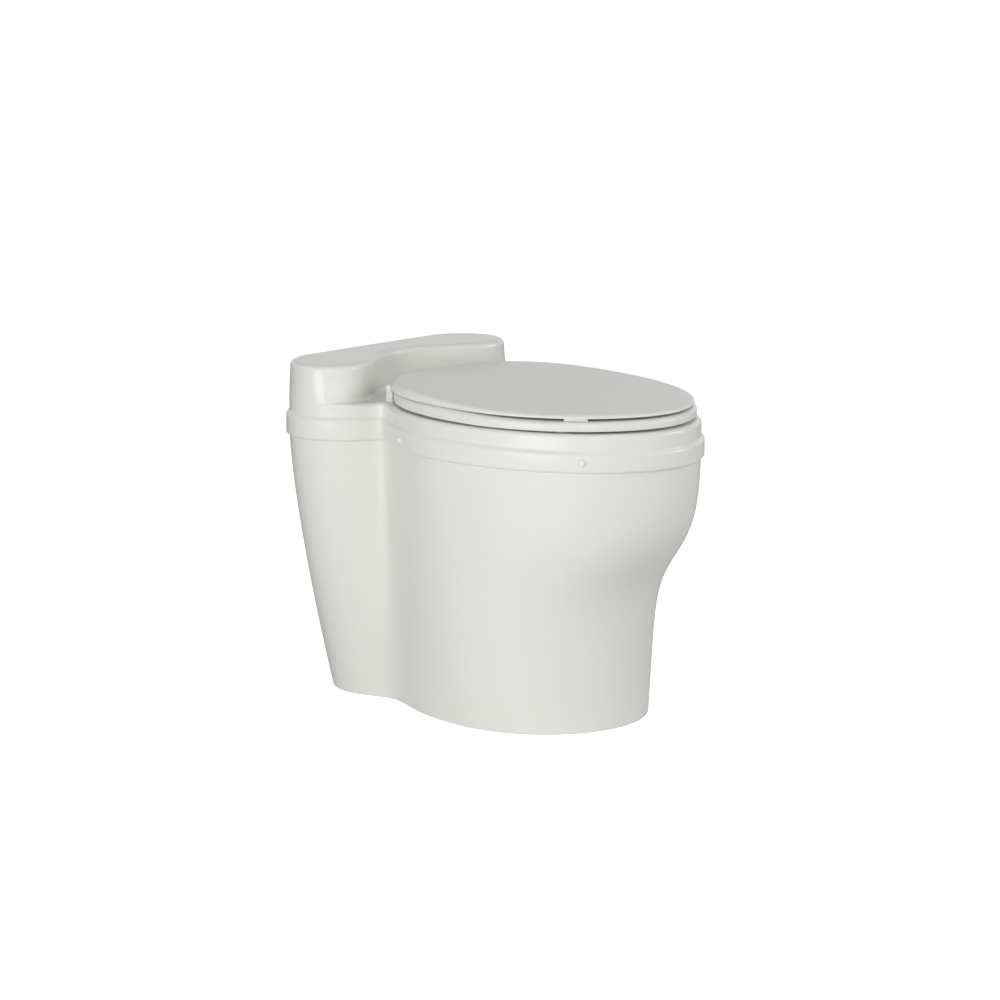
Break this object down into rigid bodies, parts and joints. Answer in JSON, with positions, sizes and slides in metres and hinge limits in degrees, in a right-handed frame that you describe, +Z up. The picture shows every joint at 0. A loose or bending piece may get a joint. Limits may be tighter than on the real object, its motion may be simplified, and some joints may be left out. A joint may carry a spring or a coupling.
{
  "type": "composting toilet pedestal",
  "caption": "Dry composting-toilet pedestal: two-part moulded shell with a waisted base, hinged oval lid over a seat ring, lift-out bowl liner and a drop chute through the floor.",
  "frame": {"origin": "centre of the bounding box's bottom face, on the floor", "axes": "+Z up, -Y towards the seat's front, +Y towards the hood at the back, +X to the user's left when seated"},
  "size_m": [0.41, 0.6244, 0.495],
  "materials": {
    "body_plastic": "glossy off-white moulding",
    "seat_plastic": "satin-gloss off-white moulding",
    "pad_rubber": "matt off-white",
    "liner_plastic": "dark matt moulding",
    "steel": "stainless"
  },
  "bodies": {
    "root": {"base_shell": "body_plastic", "top_shroud": "body_plastic", "seat_ring": "seat_plastic", "seat_pad_front_left": "pad_rubber", "seat_pad_front_right": "pad_rubber", "seat_pad_rear_left": "pad_rubber", "seat_pad_rear_right": "pad_rubber", "hinge_post_left": "seat_plastic", "hinge_post_right": "seat_plastic", "hinge_pin_left": "steel", "hinge_pin_right": "steel", "hinge_cap_left": "seat_plastic", "hinge_cap_right": "seat_plastic", "hinge_bolt_left": "steel", "hinge_bolt_right": "steel", "hinge_washer_left": "steel", "hinge_washer_right": "steel", "bowl_liner": "liner_plastic", "chute_sleeve": "liner_plastic", "band_screw_1": "steel", "band_screw_2": "steel", "band_screw_3": "steel", "band_screw_4": "steel", "band_screw_5": "steel", "band_screw_6": "steel", "screw_cap_1": "seat_plastic", "screw_cap_2": "seat_plastic", "screw_cap_3": "seat_plastic", "screw_cap_4": "seat_plastic", "screw_cap_5": "seat_plastic", "screw_cap_6": "seat_plastic", "clip_nut_1": "steel", "clip_nut_2": "steel", "clip_nut_3": "steel", "clip_nut_4": "steel", "clip_nut_5": "steel", "clip_nut_6": "steel"},
    "lid": {"lid": "seat_plastic", "lid_bumper_left": "pad_rubber", "lid_bumper_right": "pad_rubber"}
  },
  "joints": [
    {"name": "lid_hinge", "type": "hinge", "parent": "root", "child": "lid", "pos_m": [0, 0.15, 0.458], "axis": [-1, 0, 0], "range_deg": [0, 95]}
  ]
}
